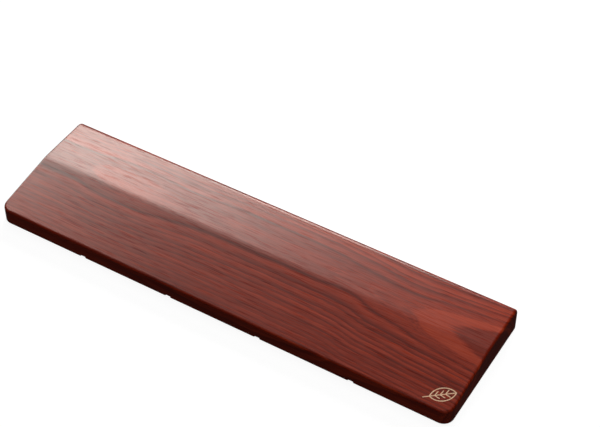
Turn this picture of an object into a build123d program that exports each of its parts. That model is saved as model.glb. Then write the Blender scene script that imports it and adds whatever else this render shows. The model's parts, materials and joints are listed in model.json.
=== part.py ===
"""Keyboard wrist rest: one machined hardwood plank on five glued-in rubber grip pads.

Millimetres. Origin at the bottom centre of the whole rest, +X along its length,
+Y towards the keyboard, +Z up. The pads' undersides lie in the plane Z = 0.
"""
from build123d import *
import math
import os

# Overall size
LENGTH = 361.0
DEPTH = 99.0
BACK_THICKNESS = 20.0
FRONT_THICKNESS = 12.2
PAD_STAND = 0.5  # how far the pads stand out below the wood

# Top face: a level strip along the back, then one straight slope down to the front
LEVEL_STRIP = 45.0
CREASE_RADIUS = 30.0

# Edges: the top is rounded over widest along the back, towards the keyboard
FRONT_CORNER_RADIUS = 7.8
TOP_EDGE_RADIUS = 1.8
BACK_EDGE_RADIUS = 5.0
BOTTOM_EDGE_RADIUS = 0.5

# Relief grooves across the underside, which part it into equal lands
LAND_COUNT = 5
GROOVE_WIDTH = 3.2
GROOVE_DEPTH = 1.5
GROOVE_MOUTH_RADIUS = 1.2

# Grip pads, each glued with a film into a pocket in the middle of its land
PAD_PLACES = ["left_end", "left", "middle", "right", "right_end"]
POCKET_INSET = 6.0
POCKET_DEPTH = 0.9
POCKET_CORNER_RADIUS = 4.0
PAD_CLEARANCE = 0.25
PAD_CHAMFER = 0.3
FILM_INSET = 1.0
FILM_THICKNESS = 0.1

# Leaf emblem, engraved near the front right corner and filled with pale lacquer
EMBLEM_X = 169.4
EMBLEM_Y = -37.6
EMBLEM_TURN = 36.0
LEAF_LENGTH = 17.5
LEAF_RISE = 4.8
STALK_LENGTH = 4.2
VEIN_STARTS = [-5.3, -1.8, 1.7]
VEIN_LENGTH = 3.6
VEIN_ANGLE = 45.0
EMBLEM_LINE = 0.75
EMBLEM_DEPTH = 0.4
FILL_RECESS = 0.05

wood_bottom = PAD_STAND
wood_back_top = wood_bottom + BACK_THICKNESS
wood_front_top = wood_bottom + FRONT_THICKNESS
half_depth = DEPTH / 2
half_length = LENGTH / 2
crease_y = half_depth - LEVEL_STRIP
slope = math.atan2(BACK_THICKNESS - FRONT_THICKNESS, crease_y + half_depth)
land_pitch = LENGTH / LAND_COUNT
groove_places = [land_pitch * (i + 1) - half_length for i in range(LAND_COUNT - 1)]
land_places = [land_pitch * (i + 0.5) - half_length for i in range(LAND_COUNT)]
pocket_length = land_pitch - GROOVE_WIDTH - 2 * POCKET_INSET
pocket_width = DEPTH - 2 * POCKET_INSET
pocket_ceiling = wood_bottom + POCKET_DEPTH
film_bottom = pocket_ceiling - FILM_THICKNESS
pad_length = pocket_length - 2 * PAD_CLEARANCE
pad_width = pocket_width - 2 * PAD_CLEARANCE
pad_corner_radius = POCKET_CORNER_RADIUS - PAD_CLEARANCE
emblem_z = wood_front_top + (EMBLEM_Y + half_depth) * math.tan(slope)
emblem_plane = Plane(
    origin=(EMBLEM_X, EMBLEM_Y, emblem_z),
    x_dir=(math.cos(math.radians(EMBLEM_TURN)),
           math.sin(math.radians(EMBLEM_TURN)) * math.cos(slope),
           math.sin(math.radians(EMBLEM_TURN)) * math.sin(slope)),
    z_dir=(0, -math.sin(slope), math.cos(slope)),
)
os.makedirs("parts", exist_ok=True)


def write(piece, name):
    """Label a finished piece and write it as its own node."""
    piece.label = name
    export_step(piece, f"parts/{name}.step")


def add_emblem_outline():
    """A leaf in one line width: two edge arcs, a midrib with its stalk, and side veins."""
    tip = LEAF_LENGTH / 2
    with BuildLine(mode=Mode.PRIVATE):
        upper_edge = ThreePointArc((-tip, 0), (0, LEAF_RISE), (tip, 0))
        lower_edge = ThreePointArc((-tip, 0), (0, -LEAF_RISE), (tip, 0))
    SlotArc(upper_edge, EMBLEM_LINE)
    SlotArc(lower_edge, EMBLEM_LINE)
    with Locations((-STALK_LENGTH / 2, 0)):
        SlotCenterToCenter(LEAF_LENGTH + STALK_LENGTH, EMBLEM_LINE)
    vein_offset = VEIN_LENGTH / 2 * math.cos(math.radians(VEIN_ANGLE))
    vein_rise = VEIN_LENGTH / 2 * math.sin(math.radians(VEIN_ANGLE))
    for start in VEIN_STARTS:
        for side in (1, -1):
            with Locations((start + vein_offset, side * vein_rise)):
                SlotCenterToCenter(VEIN_LENGTH, EMBLEM_LINE, rotation=side * VEIN_ANGLE)


# Wooden body: the plank, its edges, the relief grooves, the pad pockets and the engraving
with BuildPart() as wooden_body:
    with BuildSketch(Plane.YZ) as profile:
        with BuildLine():
            Polyline(
                (-half_depth, wood_bottom),
                (half_depth, wood_bottom),
                (half_depth, wood_back_top),
                (crease_y, wood_back_top),
                (-half_depth, wood_front_top),
                close=True,
            )
        make_face()
        crease = profile.vertices().sort_by_distance((crease_y, wood_back_top, 0))[0]
        fillet(crease, CREASE_RADIUS)
        back_edge = profile.vertices().sort_by_distance((half_depth, wood_back_top, 0))[0]
        fillet(back_edge, BACK_EDGE_RADIUS)
    extrude(amount=half_length, both=True)

    front_corners = wooden_body.edges().filter_by(Axis.Z).group_by(Axis.Y)[0]
    fillet(front_corners, FRONT_CORNER_RADIUS)

    outer_edges = wooden_body.edges().filter_by(lambda edge: not edge.is_interior)
    fillet(outer_edges.filter_by(lambda edge: edge.center().Z > wood_bottom + 0.1), TOP_EDGE_RADIUS)

    with BuildSketch(Plane.XZ.offset(-half_depth)) as groove_ends:
        with Locations(*[(x, wood_bottom) for x in groove_places]):
            Rectangle(GROOVE_WIDTH, 2 * GROOVE_DEPTH)
    extrude(amount=DEPTH, mode=Mode.SUBTRACT)
    mouths = wooden_body.edges().filter_by(Axis.Z).filter_by(
        lambda edge: abs(edge.length - GROOVE_DEPTH) < 0.01
    )
    fillet(mouths, GROOVE_MOUTH_RADIUS)
    lands = wooden_body.faces().group_by(Axis.Z)[0]
    fillet(lands.edges(), BOTTOM_EDGE_RADIUS)

    with BuildSketch(Plane.XY.offset(wood_bottom)) as pockets:
        with Locations(*[(x, 0) for x in land_places]):
            RectangleRounded(pocket_length, pocket_width, POCKET_CORNER_RADIUS)
    extrude(amount=POCKET_DEPTH, mode=Mode.SUBTRACT)

    with BuildSketch(emblem_plane.offset(-EMBLEM_DEPTH)) as engraving:
        add_emblem_outline()
    extrude(amount=2 * EMBLEM_DEPTH, mode=Mode.SUBTRACT)
write(wooden_body.part, "wooden_body")

# Emblem fill: lacquer run into the engraving, a hair below the wood's surface
with BuildPart() as emblem_fill:
    with BuildSketch(emblem_plane.offset(-EMBLEM_DEPTH)) as fill_outline:
        add_emblem_outline()
    extrude(amount=EMBLEM_DEPTH - FILL_RECESS)
write(emblem_fill.part, "emblem_fill")

# Grip pads and the glue films above them, one of each for every land
for place, x in zip(PAD_PLACES, land_places):
    with BuildPart() as grip_pad:
        with BuildSketch(Plane.XY):
            with Locations((x, 0)):
                RectangleRounded(pad_length, pad_width, pad_corner_radius)
        extrude(amount=film_bottom)
        chamfer(grip_pad.faces().sort_by(Axis.Z)[0].edges(), PAD_CHAMFER)
    write(grip_pad.part, f"grip_pad_{place}")

    with BuildPart() as glue_film:
        with BuildSketch(Plane.XY.offset(film_bottom)):
            with Locations((x, 0)):
                RectangleRounded(
                    pad_length - 2 * FILM_INSET,
                    pad_width - 2 * FILM_INSET,
                    pad_corner_radius - FILM_INSET,
                )
        extrude(amount=FILM_THICKNESS)
    write(glue_film.part, f"glue_film_{place}")
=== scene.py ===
"""Looks of the wooden wrist rest: stained mahogany plank, filled leaf engraving, rubber grip pads.

Metres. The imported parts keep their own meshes; this script gives each one its finish,
and adds the floor, the studio light and the camera.
"""
import json
import math

import bpy
from mathutils import Matrix, Vector


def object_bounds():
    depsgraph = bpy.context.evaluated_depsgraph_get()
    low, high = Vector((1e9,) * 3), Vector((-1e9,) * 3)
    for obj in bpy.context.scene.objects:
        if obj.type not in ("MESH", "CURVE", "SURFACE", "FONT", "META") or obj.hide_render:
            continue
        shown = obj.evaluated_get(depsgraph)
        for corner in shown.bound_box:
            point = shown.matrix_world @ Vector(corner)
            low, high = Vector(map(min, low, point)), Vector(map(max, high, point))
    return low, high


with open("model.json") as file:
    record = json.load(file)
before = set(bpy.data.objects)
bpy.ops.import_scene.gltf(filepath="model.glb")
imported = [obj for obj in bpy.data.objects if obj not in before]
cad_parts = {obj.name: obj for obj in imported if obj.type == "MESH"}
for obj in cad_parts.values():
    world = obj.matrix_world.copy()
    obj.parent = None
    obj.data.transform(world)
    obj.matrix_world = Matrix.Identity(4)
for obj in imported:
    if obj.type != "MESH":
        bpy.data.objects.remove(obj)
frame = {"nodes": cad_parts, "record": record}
cad_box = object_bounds()

MM = 0.001
lowest, highest = cad_box
rest_height = highest.z - lowest.z


# ---------------------------------------------------------------- node helpers

def linear(hex_colour):
    """An sRGB hex colour as linear RGBA."""
    values = [int(hex_colour[i:i + 2], 16) / 255 for i in (1, 3, 5)]
    return (*[v / 12.92 if v <= 0.04045 else ((v + 0.055) / 1.055) ** 2.4 for v in values], 1.0)


def add(tree, kind, inputs, stops=(), points=(), **settings):
    """Adds a node; an input takes a number, an output socket, or a node (its first output)."""
    node = tree.nodes.new("ShaderNode" + kind)
    for name, value in settings.items():
        setattr(node, name, value)
    for key, value in inputs.items():
        if isinstance(value, bpy.types.Node):
            value = value.outputs[0]
        if isinstance(value, bpy.types.NodeSocket):
            tree.links.new(value, node.inputs[key])
        else:
            node.inputs[key].default_value = value
    for number, (position, colour) in enumerate(stops):
        elements = node.color_ramp.elements
        element = elements[number] if number < 2 else elements.new(position)
        element.position = position
        element.color = linear(colour) if isinstance(colour, str) else (colour, colour, colour, 1.0)
    for number, point in enumerate(points):
        curve = node.mapping.curves[0]
        if number < 2:
            curve.points[number].location = point
        else:
            curve.points.new(*point)
    if points:
        node.mapping.update()
    return node


def new_material(name):
    """An empty material, and the tree to build in."""
    material = bpy.data.materials.new(name)
    material.use_nodes = True
    material.node_tree.nodes.clear()
    return material, material.node_tree


# ---------------------------------------------------------------- stained mahogany

HALF_LENGTH = highest.x
HEART_DEPTH = 30 * MM      # the tree's heart runs about this far below the top face
RING_WIDTH = 2.8 * MM
CROWN_START = 25 * MM      # the crown's figure lies between these two distances from the heart
CROWN_END = 35 * MM

# Length, width and height of the marks in the wood; fibres and pores are drawn coarser than
# real ones so that they show
FIBRE_SIZE = (26 * MM, 0.7 * MM, 0.7 * MM)
PORE_SIZE = (9 * MM, 0.45 * MM, 0.45 * MM)
SUNK_STREAK_SIZE = (16 * MM, 0.6 * MM, 0.6 * MM)
BAND_SIZE = (150 * MM, 9 * MM, 9 * MM)


def per_metre(size):
    """How many times a pattern of this size repeats in a metre, each way."""
    return tuple(1 / side for side in size)


def stained_mahogany():
    """Flat-sawn mahogany, red-brown oil stain, satin lacquer.

    Growth rings round a wandering heart give long dark lines and pale pointed lobes on the
    level strip; fibres and open pores give fine streaks along the length; the lacquer gives
    the broad milky sheen, and the streaks it has sunk into stay red.
    """
    material, tree = new_material("stained_mahogany")
    place = add(tree, "TexCoord", {}).outputs["Object"]

    # The fibres wander by a millimetre or so over a hand's length
    slow = add(tree, "Mapping", {"Vector": place, "Scale": (14, 30, 30)})
    wander = add(tree, "TexNoise", {"Vector": slow, "Scale": 1.0, "Detail": 2.0}).outputs["Color"]
    drift = add(tree, "VectorMath", {0: wander, 1: (0.5, 0.5, 0.5)}, operation="SUBTRACT")
    grain = add(tree, "VectorMath", {0: drift, 1: (0, 1.3 * MM, 1.1 * MM), 2: place},
                operation="MULTIPLY_ADD")

    # Fibres
    fibre_place = add(tree, "Mapping", {"Vector": grain, "Scale": per_metre(FIBRE_SIZE)})
    fibre = add(tree, "TexNoise", {"Vector": fibre_place, "Scale": 1.0, "Detail": 3.0, "Roughness": 0.6})
    fibre = add(tree, "Math", {0: fibre, 1: 0.5}, operation="SUBTRACT")

    # The heart of the tree: runs lengthwise under the level strip, swinging forwards at the right
    x = add(tree, "SeparateXYZ", {0: place})
    along = add(tree, "MapRange", {"Value": x, "From Min": -HALF_LENGTH, "From Max": HALF_LENGTH})
    heart_y = add(tree, "FloatCurve", {"Value": along},
                  points=[(0, 0.52), (1, 0.43), (0.28, 0.55), (0.42, 0.66), (0.52, 0.68), (0.65, 0.66),
                          (0.72, 0.60), (0.80, 0.46)])
    heart_z = add(tree, "FloatCurve", {"Value": along},
                  points=[(0, 0.92), (1, 0.0), (0.04, 0.92), (0.085, 0.88), (0.155, 0.63), (0.21, 0.58),
                          (0.265, 0.67), (0.305, 0.78), (0.36, 0.85), (0.445, 0.83), (0.53, 0.83),
                          (0.64, 0.86), (0.71, 1.0), (0.765, 0.94), (0.79, 0.92), (0.825, 0.88),
                          (0.875, 0.62), (0.945, 0.30)])
    heart_y = add(tree, "MapRange", {"Value": heart_y, "To Min": 0, "To Max": 25 * MM})
    heart_z = add(tree, "MapRange", {"Value": heart_z, "To Min": highest.z - HEART_DEPTH + 4.2 * MM,
                                     "To Max": highest.z - HEART_DEPTH - 1.8 * MM})
    heart = add(tree, "CombineXYZ", {0: x, 1: heart_y, 2: heart_z})
    axes = add(tree, "SeparateXYZ", {0: grain})
    level = add(tree, "CombineXYZ", {0: x, 1: axes.outputs[1], 2: axes.outputs[2]})
    radius = add(tree, "VectorMath", {0: level, 1: heart}, operation="DISTANCE").outputs["Value"]
    radius = add(tree, "Math", {0: fibre, 1: 1.2 * MM, 2: radius}, operation="MULTIPLY_ADD")

    # Growth rings of uneven width: pale early wood, then a thin dark late line
    unevenness = add(tree, "TexNoise", {"W": radius, "Scale": 190.0, "Detail": 1.0}, noise_dimensions="1D")
    ring = add(tree, "Math", {0: radius, 1: 1 / RING_WIDTH, 2: unevenness}, operation="MULTIPLY_ADD")
    phase = add(tree, "Math", {0: ring}, operation="FRACT")
    late = add(tree, "ValToRGB", {"Fac": phase},
               stops=[(0.0, 0.45), (1.0, 0.3), (0.10, 0.8), (0.45, 0.65), (0.78, 0.25), (0.92, 0.0)])
    number = add(tree, "Math", {0: ring}, operation="FLOOR")
    year = add(tree, "TexWhiteNoise", {"W": number}, noise_dimensions="1D")
    strength = add(tree, "Math", {0: year, 1: 0.22, 2: 0.14}, operation="MULTIPLY_ADD")
    figure = add(tree, "MapRange", {"Value": along, "To Min": 0.45, "To Max": 1.25})
    strength = add(tree, "Math", {0: strength, 1: figure}, operation="MULTIPLY")
    late = add(tree, "Math", {0: late, 1: 0.5}, operation="SUBTRACT")
    rings = add(tree, "Math", {0: late, 1: strength, 2: 0.5}, operation="MULTIPLY_ADD")

    # The first rings at the crown are wide: dark heartwood, a pale flame, feathered lines, then
    # one thin black line; the flame fades in the middle of the length
    crown_place = add(tree, "MapRange", {"Value": radius, "From Min": CROWN_START, "From Max": CROWN_END})
    crown = add(tree, "ValToRGB", {"Fac": crown_place},
                stops=[(0.0, 0.42), (1.0, 0.5), (0.30, 0.40), (0.36, 0.66), (0.58, 0.68), (0.61, 0.46),
                       (0.625, 0.60), (0.645, 0.44), (0.67, 0.58), (0.695, 0.46), (0.73, 0.54),
                       (0.83, 0.5)])
    crown = add(tree, "Math", {0: crown, 1: 0.5}, operation="SUBTRACT")
    fade = add(tree, "FloatCurve", {"Value": along},
               points=[(0, 0.2), (1, 0.8), (0.07, 0.25), (0.12, 0.7), (0.235, 0.6), (0.29, 0.3),
                       (0.37, 0.3), (0.44, 0.5), (0.52, 0.3), (0.66, 0.4), (0.72, 0.9), (0.82, 0.8)])
    plain = add(tree, "MapRange", {"Value": along, "To Min": 0.41, "To Max": 0.54})
    crown = add(tree, "Math", {0: crown, 1: fade, 2: plain}, operation="MULTIPLY_ADD")
    black_line = add(tree, "ValToRGB", {"Fac": crown_place},
                     stops=[(0.0, 0.0), (1.0, 0.0), (0.84, 0.0), (0.87, 0.07), (0.895, 0.21),
                            (0.915, 0.17), (0.945, 0.0)])
    near_crown = add(tree, "MapRange",
                     {"Value": radius, "From Min": CROWN_END - 0.6 * MM, "From Max": CROWN_END})
    rings = add(tree, "Mix", {"Factor": near_crown, "A": crown, "B": rings})
    rings = add(tree, "Math", {0: rings, 1: black_line}, operation="SUBTRACT")

    # Broad bands, and pores as short dashes
    band_place = add(tree, "Mapping", {"Vector": grain, "Scale": per_metre(BAND_SIZE)})
    band = add(tree, "TexNoise", {"Vector": band_place, "Scale": 1.0, "Detail": 2.0})
    band = add(tree, "Math", {0: band, 1: 0.5}, operation="SUBTRACT")
    pore_place = add(tree, "Mapping", {"Vector": grain, "Scale": per_metre(PORE_SIZE)})
    pore_noise = add(tree, "TexNoise", {"Vector": pore_place, "Scale": 1.0, "Detail": 1.0})
    pore = add(tree, "MapRange", {"Value": pore_noise, "From Min": 0.58, "From Max": 0.68})

    tone = add(tree, "Math", {0: fibre, 1: 0.42, 2: rings}, operation="MULTIPLY_ADD")
    tone = add(tree, "Math", {0: band, 1: 0.30, 2: tone}, operation="MULTIPLY_ADD")
    tone = add(tree, "Math", {0: pore, 1: -0.07, 2: tone}, operation="MULTIPLY_ADD")
    colour = add(tree, "ValToRGB", {"Fac": tone},
                 stops=[(0.12, "#471008"), (0.88, "#b84827"), (0.35, "#621607"), (0.5, "#7d2009"),
                        (0.65, "#9a2f12")])

    # Open streaks, where the lacquer has sunk in and shines less
    open_place = add(tree, "Mapping", {"Vector": grain, "Scale": per_metre(SUNK_STREAK_SIZE)})
    open_noise = add(tree, "TexNoise", {"Vector": open_place, "Scale": 1.0, "Detail": 2.0})
    sunk = add(tree, "MapRange", {"Value": open_noise, "From Min": 0.53, "From Max": 0.65,
                                  "To Min": 1.0, "To Max": 0.5})

    # The grain stands a few hundredths of a millimetre through the lacquer
    relief = add(tree, "Math", {0: pore, 1: -0.6, 2: fibre}, operation="MULTIPLY_ADD")
    bump = add(tree, "Bump", {"Strength": 0.1, "Distance": 0.05 * MM, "Height": relief})
    roughness = add(tree, "Math", {0: fibre, 1: 0.2, 2: 0.55}, operation="MULTIPLY_ADD")

    shader = add(tree, "BsdfPrincipled",
                 {"Base Color": colour, "Roughness": roughness, "Normal": bump, "Specular IOR Level": 0.0,
                  "Coat Weight": sunk, "Coat Roughness": 0.335, "Coat IOR": 1.5, "Coat Normal": bump})
    add(tree, "OutputMaterial", {"Surface": shader})
    return material


# ---------------------------------------------------------------- pale lacquer fill

def pale_lacquer():
    """Thick tan lacquer wiped into the engraving: slightly mottled, satin."""
    material, tree = new_material("pale_lacquer")
    place = add(tree, "TexCoord", {}).outputs["Object"]
    mottle = add(tree, "TexNoise", {"Vector": place, "Scale": 900.0, "Detail": 3.0})
    colour = add(tree, "ValToRGB", {"Fac": mottle}, stops=[(0.3, "#dcae88"), (0.7, "#f2cca6")])
    bump = add(tree, "Bump", {"Strength": 0.2, "Distance": 0.03 * MM, "Height": mottle})
    shader = add(tree, "BsdfPrincipled", {"Base Color": colour, "Roughness": 0.45, "Normal": bump})
    add(tree, "OutputMaterial", {"Surface": shader})
    return material


# ---------------------------------------------------------------- grip rubber

def grip_rubber():
    """Black calendered rubber sheet: matt, with a fine fabric-pressed texture."""
    material, tree = new_material("grip_rubber")
    place = add(tree, "TexCoord", {}).outputs["Object"]
    pattern = add(tree, "TexVoronoi", {"Vector": place, "Scale": 1 / (0.9 * MM)})
    dust = add(tree, "TexNoise", {"Vector": place, "Scale": 60.0, "Detail": 5.0})
    colour = add(tree, "ValToRGB", {"Fac": dust}, stops=[(0.3, "#161617"), (0.75, "#232324")])
    roughness = add(tree, "Math", {0: dust, 1: 0.2, 2: 0.6}, operation="MULTIPLY_ADD")
    bump = add(tree, "Bump", {"Strength": 0.6, "Distance": 0.1 * MM, "Height": pattern})
    shader = add(tree, "BsdfPrincipled", {"Base Color": colour, "Roughness": roughness, "Normal": bump})
    add(tree, "OutputMaterial", {"Surface": shader})
    return material


# ---------------------------------------------------------------- adhesive film

def adhesive_film():
    """Acrylic double-sided film: milky, smooth, with faint trapped air."""
    material, tree = new_material("adhesive_film")
    place = add(tree, "TexCoord", {}).outputs["Object"]
    air = add(tree, "TexNoise", {"Vector": place, "Scale": 300.0, "Detail": 2.0})
    colour = add(tree, "ValToRGB", {"Fac": air}, stops=[(0.4, "#d8d4c8"), (0.65, "#ebe8df")])
    bump = add(tree, "Bump", {"Strength": 0.2, "Distance": 0.02 * MM, "Height": air})
    shader = add(tree, "BsdfPrincipled", {"Base Color": colour, "Roughness": 0.35, "Normal": bump})
    add(tree, "OutputMaterial", {"Surface": shader})
    return material


# ---------------------------------------------------------------- dressing the parts

finishes = {
    "stained_hardwood": stained_mahogany(),
    "pale_lacquer": pale_lacquer(),
    "grip_rubber": grip_rubber(),
    "adhesive_film": adhesive_film(),
}
for part in frame["record"]["subparts"]:
    piece = frame["nodes"][part["node"]]
    piece.material_slots[0].material = finishes[part["material_slot"]]


# ---------------------------------------------------------------- floor

def pale_floor():
    """Plain near-white studio sweep, lit from within a little so that shadows stay soft."""
    material, tree = new_material("pale_floor")
    shader = add(tree, "BsdfPrincipled",
                 {"Base Color": (0.2, 0.2, 0.2, 1), "Roughness": 0.9, "Specular IOR Level": 0.0,
                  "Emission Color": (1, 1, 1, 1), "Emission Strength": 0.89})
    add(tree, "OutputMaterial", {"Surface": shader})
    return material


FLOOR_HALF = 6.0
floor_mesh = bpy.data.meshes.new("floor")
corners = [(-FLOOR_HALF, -FLOOR_HALF, lowest.z), (FLOOR_HALF, -FLOOR_HALF, lowest.z),
           (FLOOR_HALF, FLOOR_HALF, lowest.z), (-FLOOR_HALF, FLOOR_HALF, lowest.z)]
floor_mesh.from_pydata(corners, [], [(0, 1, 2, 3)])
floor = bpy.data.objects.new("floor", floor_mesh)
bpy.context.scene.collection.objects.link(floor)
floor_mesh.materials.append(pale_floor())
floor.visible_diffuse = False
floor.visible_glossy = False


# ---------------------------------------------------------------- studio light

def direction(azimuth, elevation):
    """Unit vector; azimuth 0 points along +Y and 90 along -X."""
    a, e = math.radians(azimuth), math.radians(elevation)
    return Vector((-math.sin(a) * math.cos(e), math.cos(a) * math.cos(e), math.sin(e)))


def softbox(name, azimuth, elevation, distance, size, radiance, roll=0.0, colour="#ffffff"):
    """A rectangular area light that faces the origin."""
    light = bpy.data.lights.new(name, "AREA")
    light.color = linear(colour)[:3]
    light.shape = "RECTANGLE"
    light.size, light.size_y = size
    light.energy = radiance * math.pi * size[0] * size[1]
    lamp = bpy.data.objects.new(name, light)
    towards = direction(azimuth, elevation)
    lamp.location = towards * distance
    turn = towards.to_track_quat("Z", "Y").to_matrix().to_4x4()
    lamp.rotation_euler = (turn @ Matrix.Rotation(math.radians(roll), 4, "Z")).to_euler()
    lamp.visible_camera = False
    bpy.context.scene.collection.objects.link(lamp)
    return lamp


# The key strip lies low behind the left end and is seen only as sheen; the fills only light the wood
key = softbox("key_strip", 41.7, 33.5, 0.643, (0.766, 0.147), 17.9, roll=8.9, colour="#fffaf2")
key.visible_diffuse = False
overhead = softbox("overhead_fill", 0, 89.9, 2.0, (2.5, 2.5), 1.25)
behind = softbox("back_fill", 8, 25, 2.0, (2.0, 1.0), 7.4)
front = softbox("front_fill", 211, 25, 2.0, (1.5, 1.5), 0.4)
for fill_light in (overhead, behind, front):
    fill_light.visible_glossy = False

# A dim dome, a little lighter below the horizon, with a white backdrop for the camera alone
world = bpy.data.worlds.new("studio")
bpy.context.scene.world = world
world.use_nodes = True
sky = world.node_tree
sky.nodes.clear()
towards = add(sky, "TexCoord", {}).outputs["Generated"]
up = add(sky, "SeparateXYZ", {0: towards}).outputs[2]
height = add(sky, "MapRange", {"Value": up, "From Min": -1})
dome = add(sky, "ValToRGB", {"Fac": height}, stops=[(0.46, "#2c2c2c"), (0.54, "#101010")])
fill = add(sky, "Background", {"Color": dome, "Strength": 1.0})
backdrop = add(sky, "Background", {"Color": (1, 1, 1, 1), "Strength": 1.0})
seen = add(sky, "LightPath", {}).outputs["Is Camera Ray"]
mixed = add(sky, "MixShader", {0: seen, 1: fill, 2: backdrop})
add(sky, "OutputWorld", {0: mixed})


# ---------------------------------------------------------------- camera

VIEW_AZIMUTH = 31.16
VIEW_ELEVATION = 44.99
VIEW_DISTANCE = 1.1459
AIM = Vector((-0.4 * MM, 67.2 * MM, 0))

camera_data = bpy.data.cameras.new("camera")
camera_data.lens = 95.1
camera_data.sensor_width = 36.0
camera = bpy.data.objects.new("camera", camera_data)
back = -direction(VIEW_AZIMUTH, -VIEW_ELEVATION)
camera.location = AIM + back * VIEW_DISTANCE
camera.rotation_euler = back.to_track_quat("Z", "Y").to_euler()
bpy.context.scene.collection.objects.link(camera)
bpy.context.scene.camera = camera

bpy.context.scene.view_settings.view_transform = "Standard"
